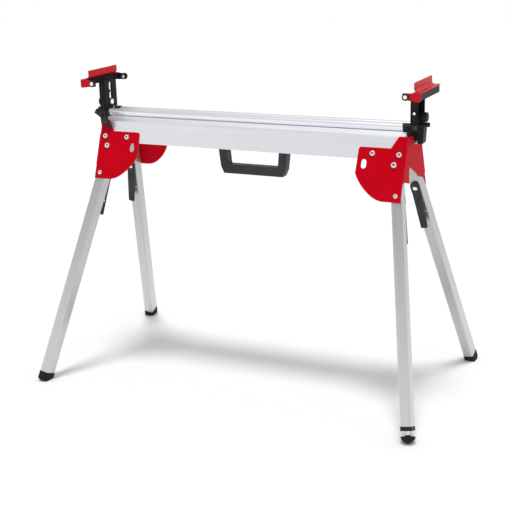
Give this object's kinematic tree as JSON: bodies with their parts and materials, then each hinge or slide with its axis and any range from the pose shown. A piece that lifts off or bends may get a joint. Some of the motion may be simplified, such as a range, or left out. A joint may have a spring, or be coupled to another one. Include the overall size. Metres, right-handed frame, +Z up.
{
  "type": "folding miter saw stand",
  "caption": "Folding stand that carries a miter saw on a railed beam, with fold-up splayed legs and pull-out work supports with flip-up length stops.",
  "frame": {"origin": "on the floor, under the middle of the beam", "axes": "X along the beam to the right, Y to the rear, Z up"},
  "size_m": [1.2811, 0.7258, 0.98],
  "materials": {
    "extrusion": "satin anodised",
    "leg_metal": "brushed",
    "red_paint": "smooth powder coat",
    "black_paint": "satin powder coat",
    "black_plastic": "fine grain",
    "rubber": "matte",
    "steel": "zinc plated",
    "chrome": "bright"
  },
  "bodies": {
    "frame": {"beam": "extrusion", "bracket_left": "red_paint", "bracket_right": "red_paint", "bracket_screws": "steel", "leg_pivot_bolts": "steel", "leg_pivot_nuts": "steel", "end_cap_left": "black_plastic", "end_cap_right": "black_plastic", "carry_handle": "black_plastic", "handle_screws": "steel", "clamp_rods": "steel", "clamp_nuts": "black_paint"},
    "leg_left_front": {"leg_tube_left_front": "leg_metal", "leg_plug_left_front": "black_plastic", "foot_left_front": "rubber", "lever_bracket_left_front": "steel", "lever_spring_left_front": "steel"},
    "lock_lever_left_front": {"lock_lever_left_front": "black_plastic"},
    "lock_pin_left_front": {"lock_pin_left_front": "chrome"},
    "leg_left_rear": {"leg_tube_left_rear": "leg_metal", "leg_plug_left_rear": "black_plastic", "foot_left_rear": "rubber", "lever_bracket_left_rear": "steel", "lever_spring_left_rear": "steel"},
    "lock_lever_left_rear": {"lock_lever_left_rear": "black_plastic"},
    "lock_pin_left_rear": {"lock_pin_left_rear": "chrome"},
    "leg_right_front": {"leg_tube_right_front": "leg_metal", "leg_plug_right_front": "black_plastic", "foot_right_front": "black_plastic", "lever_bracket_right_front": "steel", "lever_spring_right_front": "steel"},
    "lock_lever_right_front": {"lock_lever_right_front": "black_plastic"},
    "lock_pin_right_front": {"lock_pin_right_front": "chrome"},
    "leg_right_rear": {"leg_tube_right_rear": "leg_metal", "leg_plug_right_rear": "black_plastic", "foot_right_rear": "rubber", "lever_bracket_right_rear": "steel", "lever_spring_right_rear": "steel"},
    "lock_lever_right_rear": {"lock_lever_right_rear": "black_plastic"},
    "lock_pin_right_rear": {"lock_pin_right_rear": "chrome"},
    "levelling_foot": {"levelling_pad": "rubber"},
    "levelling_screw": {"levelling_stud": "steel"},
    "arm_left": {"arm_tube_left": "extrusion", "arm_head_left": "black_plastic", "clamp_stud_left": "steel"},
    "height_knob_left": {"height_knob_left": "black_plastic"},
    "post_left": {"post_left": "black_paint", "support_bar_left": "black_paint", "stop_bolts_left": "steel"},
    "flip_stop_left": {"flip_stop_left": "red_paint"},
    "arm_lever_left": {"arm_lever_left": "black_plastic"},
    "arm_right": {"arm_tube_right": "extrusion", "arm_head_right": "black_plastic", "clamp_stud_right": "steel"},
    "height_knob_right": {"height_knob_right": "black_plastic"},
    "post_right": {"post_right": "black_paint", "support_bar_right": "black_paint", "stop_bolts_right": "steel"},
    "flip_stop_right": {"flip_stop_right": "red_paint"},
    "arm_lever_right": {"arm_lever_right": "black_plastic"}
  },
  "joints": [
    {"name": "leg_fold_left_front", "type": "hinge", "parent": "frame", "child": "leg_left_front", "pos_m": [-0.4876, -0.06148, 0.73185], "axis": [0, -0.9336, 0.3584], "range_deg": [0, 102.2]},
    {"name": "lock_release_left_front", "type": "hinge", "parent": "leg_left_front", "child": "lock_lever_left_front", "pos_m": [-0.51756, -0.09936, 0.56061], "axis": [-0.9854, 0.061, 0.1589], "range_deg": [0, 6], "stiffness_Nm_per_rad": 2, "springref_deg": -8.02},
    {"name": "pin_slide_left_front", "type": "slide", "parent": "leg_left_front", "child": "lock_pin_left_front", "axis": [0, 0.9336, -0.3584], "range_m": [0, 0.0096]},
    {"name": "leg_fold_left_rear", "type": "hinge", "parent": "frame", "child": "leg_left_rear", "pos_m": [-0.4876, 0.06148, 0.73185], "axis": [0, -0.9336, -0.3584], "range_deg": [0, 102.2]},
    {"name": "lock_release_left_rear", "type": "hinge", "parent": "leg_left_rear", "child": "lock_lever_left_rear", "pos_m": [-0.51756, 0.09936, 0.56061], "axis": [0.9854, 0.061, -0.1589], "range_deg": [0, 6], "stiffness_Nm_per_rad": 2, "springref_deg": -8.02},
    {"name": "pin_slide_left_rear", "type": "slide", "parent": "leg_left_rear", "child": "lock_pin_left_rear", "axis": [0, -0.9336, -0.3584], "range_m": [0, 0.0096]},
    {"name": "leg_fold_right_front", "type": "hinge", "parent": "frame", "child": "leg_right_front", "pos_m": [0.4876, -0.06148, 0.73185], "axis": [0, 0.9336, -0.3584], "range_deg": [0, 97.4]},
    {"name": "lock_release_right_front", "type": "hinge", "parent": "leg_right_front", "child": "lock_lever_right_front", "pos_m": [0.51756, -0.09936, 0.56061], "axis": [-0.9854, -0.061, -0.1589], "range_deg": [0, 6], "stiffness_Nm_per_rad": 2, "springref_deg": -8.02},
    {"name": "pin_slide_right_front", "type": "slide", "parent": "leg_right_front", "child": "lock_pin_right_front", "axis": [0, 0.9336, -0.3584], "range_m": [0, 0.0096]},
    {"name": "leg_fold_right_rear", "type": "hinge", "parent": "frame", "child": "leg_right_rear", "pos_m": [0.4876, 0.06148, 0.73185], "axis": [0, 0.9336, 0.3584], "range_deg": [0, 97.4]},
    {"name": "lock_release_right_rear", "type": "hinge", "parent": "leg_right_rear", "child": "lock_lever_right_rear", "pos_m": [0.51756, 0.09936, 0.56061], "axis": [0.9854, -0.061, 0.1589], "range_deg": [0, 6], "stiffness_Nm_per_rad": 2, "springref_deg": -8.02},
    {"name": "pin_slide_right_rear", "type": "slide", "parent": "leg_right_rear", "child": "lock_pin_right_rear", "axis": [0, -0.9336, -0.3584], "range_m": [0, 0.0096]},
    {"name": "levelling_travel", "type": "slide", "parent": "leg_right_front", "child": "levelling_foot", "axis": [0.1702, -0.3531, -0.92], "range_m": [-0.00525, 0.0105]},
    {"name": "levelling_turn", "type": "hinge", "parent": "levelling_foot", "child": "levelling_screw", "pos_m": [0.62108, -0.33841, 0.01042], "axis": [0.1702, -0.3531, -0.92], "range_deg": [-1085, 2165]},
    {"name": "arm_slide_left", "type": "slide", "parent": "frame", "child": "arm_left", "axis": [-1, 0, 0], "range_m": [0, 0.7]},
    {"name": "post_height_left", "type": "slide", "parent": "arm_left", "child": "post_left", "axis": [0, 0, 1], "range_m": [-0.025, 0]},
    {"name": "knob_turn_left", "type": "hinge", "parent": "arm_left", "child": "height_knob_left", "pos_m": [-0.55, 0, 0.87], "axis": [-1, 0, 0], "continuous": true},
    {"name": "stop_flip_left", "type": "hinge", "parent": "post_left", "child": "flip_stop_left", "pos_m": [-0.523, 0, 0.941], "axis": [0, 1, 0], "range_deg": [0, 180]},
    {"name": "arm_clamp_left", "type": "hinge", "parent": "frame", "child": "arm_lever_left", "pos_m": [-0.5135, -0.073, 0.841], "axis": [0, -1, 0], "range_deg": [0, 90]},
    {"name": "arm_slide_right", "type": "slide", "parent": "frame", "child": "arm_right", "axis": [1, 0, 0], "range_m": [0, 0.7]},
    {"name": "post_height_right", "type": "slide", "parent": "arm_right", "child": "post_right", "axis": [0, 0, 1], "range_m": [-0.025, 0]},
    {"name": "knob_turn_right", "type": "hinge", "parent": "arm_right", "child": "height_knob_right", "pos_m": [0.55, 0, 0.87], "axis": [1, 0, 0], "continuous": true},
    {"name": "stop_flip_right", "type": "hinge", "parent": "post_right", "child": "flip_stop_right", "pos_m": [0.523, 0, 0.941], "axis": [0, -1, 0], "range_deg": [0, 180]},
    {"name": "arm_clamp_right", "type": "hinge", "parent": "frame", "child": "arm_lever_right", "pos_m": [0.5135, 0.073, 0.841], "axis": [0, 1, 0], "range_deg": [0, 90]}
  ],
  "couplings": [
    {"joint": "lock_release_left_front", "follows": "pin_slide_left_front", "rad_per_m": 10.81},
    {"joint": "lock_release_left_rear", "follows": "pin_slide_left_rear", "rad_per_m": 10.81},
    {"joint": "lock_release_right_front", "follows": "pin_slide_right_front", "rad_per_m": 10.81},
    {"joint": "lock_release_right_rear", "follows": "pin_slide_right_rear", "rad_per_m": 10.81},
    {"joint": "levelling_turn", "follows": "levelling_travel", "rad_per_m": 3590.4}
  ]
}
